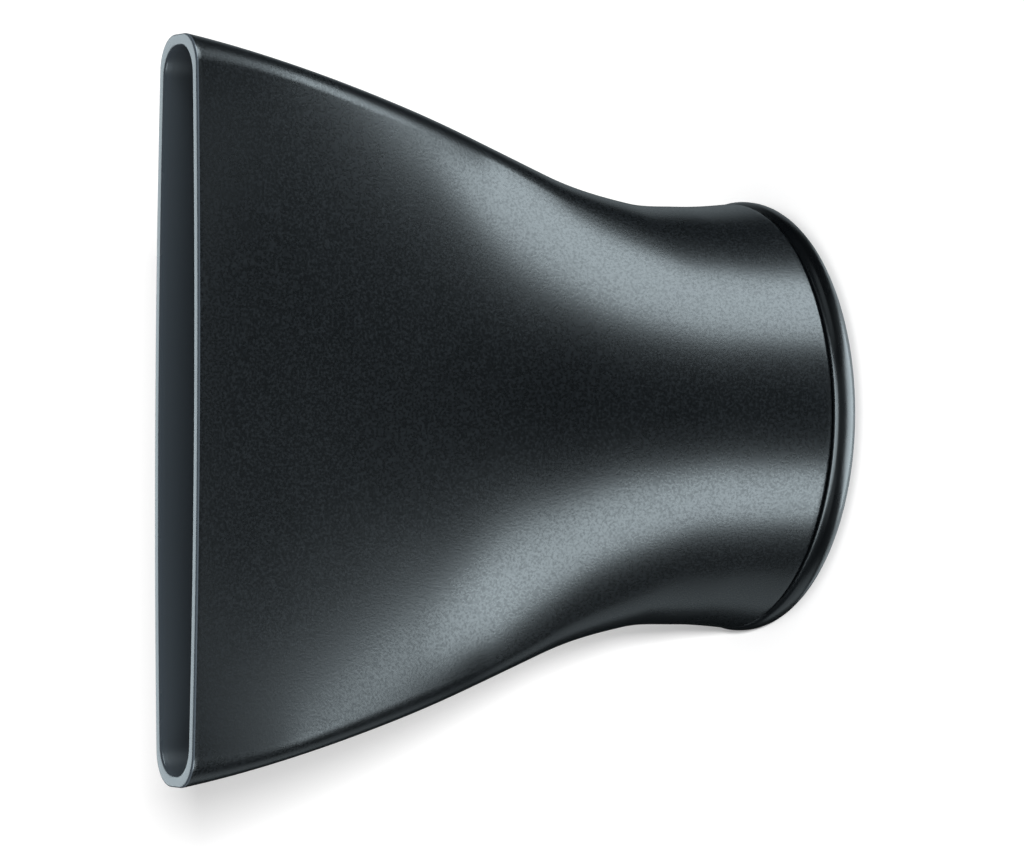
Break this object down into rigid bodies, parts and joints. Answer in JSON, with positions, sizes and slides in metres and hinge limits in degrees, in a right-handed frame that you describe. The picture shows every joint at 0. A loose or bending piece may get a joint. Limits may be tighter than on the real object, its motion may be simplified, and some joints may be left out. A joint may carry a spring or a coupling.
{
  "type": "hair dryer concentrator nozzle",
  "caption": "Flared nozzle that narrows a hair dryer's air from a round collar to a long slot and turns freely on its collar.",
  "frame": {"origin": "centre of the collar's rear face, where the airway enters", "axes": "+Z along the airway from the collar to the slot, +X along the slot's long side, +Y through the broad side"},
  "size_m": [0.08, 0.0476, 0.0702],
  "materials": {
    "shell_plastic": "satin black with a fine spark-eroded grain outside, smooth inside and on the lip",
    "collar_plastic": "smooth polished black",
    "spring_steel": "drawn wire",
    "silicone": "matt black silicone"
  },
  "bodies": {
    "collar": {"coupling_collar": "collar_plastic", "snap_ring": "spring_steel", "grip_ring": "silicone"},
    "nozzle": {"nozzle_body": "shell_plastic"}
  },
  "joints": [
    {"name": "nozzle_swivel", "type": "hinge", "parent": "collar", "child": "nozzle", "pos_m": [0, 0, 0], "axis": [0, 0, 1], "continuous": true}
  ]
}
